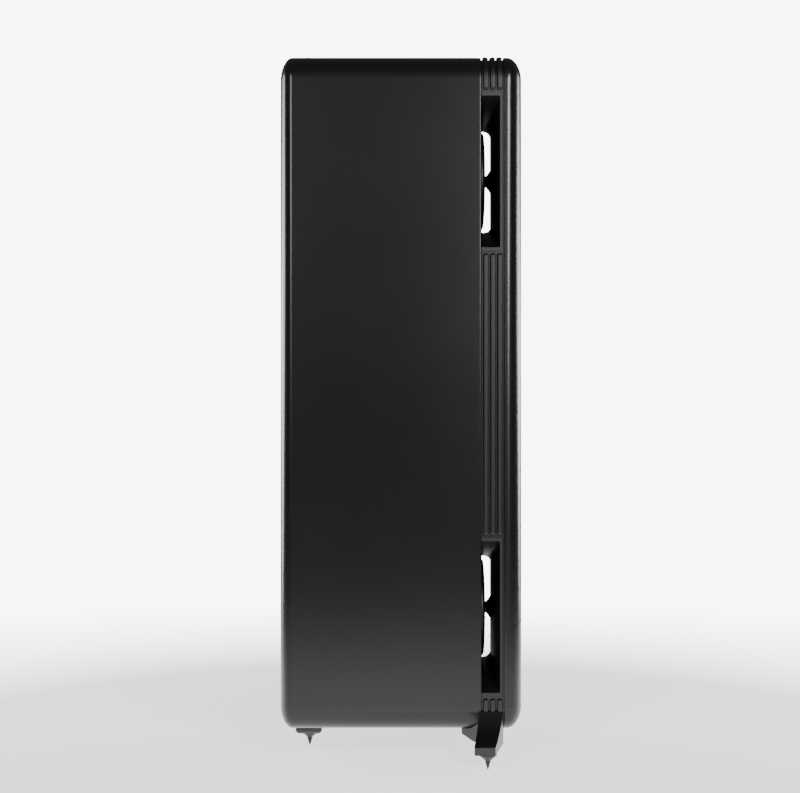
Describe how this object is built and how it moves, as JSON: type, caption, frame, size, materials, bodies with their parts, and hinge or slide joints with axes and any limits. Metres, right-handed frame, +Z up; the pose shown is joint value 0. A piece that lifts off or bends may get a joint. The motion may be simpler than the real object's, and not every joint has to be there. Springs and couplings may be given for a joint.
{
  "type": "air purifier",
  "caption": "Tall satin black floor-standing air purifier with a ribbed band, side outlet ducts, a rear filter door and an outrigger stand on spikes.",
  "frame": {"origin": "on the floor, under the middle of the cabinet's depth and width", "axes": "+X front panel, +Y the width towards the object's left, +Z up"},
  "size_m": [0.324, 0.348, 0.9427],
  "materials": {
    "satin_black_shell": "satin black coat over a moulding",
    "ribbed_black": "satin moulded black",
    "duct_black": "matt moulded black",
    "inner_black": "moulded black",
    "door_black": "satin moulded black",
    "cast_black": "satin black coated casting",
    "spike_black": "black oxide turned steel",
    "steel": "zinc plated",
    "brass": "turned",
    "clip_plastic": "moulded nylon",
    "board_green": "solder mask",
    "lead_jacket": "soft jacket",
    "button_cap": "satin moulded cap",
    "light_lens": "translucent lens",
    "gasket_foam": "closed-cell foam",
    "filter_media": "fibrous filter media",
    "carbon_media": "carbon granules in a mesh"
  },
  "bodies": {
    "cabinet": {"air_sensor": "inner_black", "band_screws": "steel", "board_screws": "steel", "board_standoffs": "brass", "button_board": "inner_black", "control_board": "board_green", "control_strip": "door_black", "fan_bearings": "steel", "fan_screws": "steel", "filter_seat": "inner_black", "front_baffle": "inner_black", "front_panel": "satin_black_shell", "front_stand": "cast_black", "lower_deflector": "duct_black", "lower_duct_liner": "duct_black", "lower_fan_frame": "inner_black", "lower_fan_lead": "lead_jacket", "lower_fan_stator": "steel", "lower_finger_guard": "duct_black", "lower_outlet_ring": "duct_black", "magnet_plates": "steel", "main_housing": "satin_black_shell", "mains_inlet": "inner_black", "mains_lead": "lead_jacket", "panel_studs": "clip_plastic", "power_board": "board_green", "rear_foot": "cast_black", "ribbed_band": "ribbed_black", "rocker_bezel": "inner_black", "spike_inserts": "brass", "stand_screws": "steel", "status_light": "light_lens", "tact_switches": "clip_plastic", "upper_deflector": "duct_black", "upper_duct_liner": "duct_black", "upper_fan_frame": "inner_black", "upper_fan_lead": "lead_jacket", "upper_fan_stator": "steel", "upper_finger_guard": "duct_black", "upper_outlet_ring": "duct_black"},
    "filter_cassette": {"rear_door": "door_black", "filter_tray": "inner_black", "door_magnets": "steel", "filter_gasket": "gasket_foam", "prefilter_mesh": "filter_media", "carbon_filter": "carbon_media", "hepa_filter": "filter_media"},
    "upper_rotor": {"upper_impeller": "inner_black", "upper_fan_shaft": "steel", "upper_rotor_magnet": "steel"},
    "lower_rotor": {"lower_impeller": "inner_black", "lower_fan_shaft": "steel", "lower_rotor_magnet": "steel"},
    "rocker": {"rocker_switch": "button_cap"},
    "power_button": {"power_button": "button_cap"},
    "speed_button": {"speed_button": "button_cap"},
    "mode_button": {"mode_button": "button_cap"},
    "right_front_spike": {"right_front_spike": "spike_black"},
    "left_front_spike": {"left_front_spike": "spike_black"},
    "rear_spike": {"rear_spike": "spike_black"}
  },
  "joints": [
    {"name": "cassette_slide", "type": "slide", "parent": "cabinet", "child": "filter_cassette", "axis": [-1, 0, 0], "range_m": [0, 0.09]},
    {"name": "upper_rotor_spin", "type": "hinge", "parent": "cabinet", "child": "upper_rotor", "pos_m": [0.085, 0, 0.7855], "axis": [1, 0, 0], "continuous": true},
    {"name": "lower_rotor_spin", "type": "hinge", "parent": "cabinet", "child": "lower_rotor", "pos_m": [0.085, 0, 0.1925], "axis": [1, 0, 0], "continuous": true},
    {"name": "rocker_tilt", "type": "hinge", "parent": "cabinet", "child": "rocker", "pos_m": [-0.1515, -0.024, 0.101], "axis": [0, 1, 0], "range_deg": [0, 16]},
    {"name": "power_button_press", "type": "slide", "parent": "cabinet", "child": "power_button", "axis": [0, 0, -1], "range_m": [0, 0.0012], "stiffness_N_per_m": 400, "springref_m": -0.0005},
    {"name": "speed_button_press", "type": "slide", "parent": "cabinet", "child": "speed_button", "axis": [0, 0, -1], "range_m": [0, 0.0012], "stiffness_N_per_m": 400, "springref_m": -0.0005},
    {"name": "mode_button_press", "type": "slide", "parent": "cabinet", "child": "mode_button", "axis": [0, 0, -1], "range_m": [0, 0.0012], "stiffness_N_per_m": 400, "springref_m": -0.0005},
    {"name": "right_spike_level", "type": "slide", "parent": "cabinet", "child": "right_front_spike", "axis": [0, 0, -1], "range_m": [0, 0.006]},
    {"name": "left_spike_level", "type": "slide", "parent": "cabinet", "child": "left_front_spike", "axis": [0, 0, -1], "range_m": [0, 0.006]},
    {"name": "rear_spike_level", "type": "slide", "parent": "cabinet", "child": "rear_spike", "axis": [0, 0, -1], "range_m": [0, 0.006]}
  ]
}
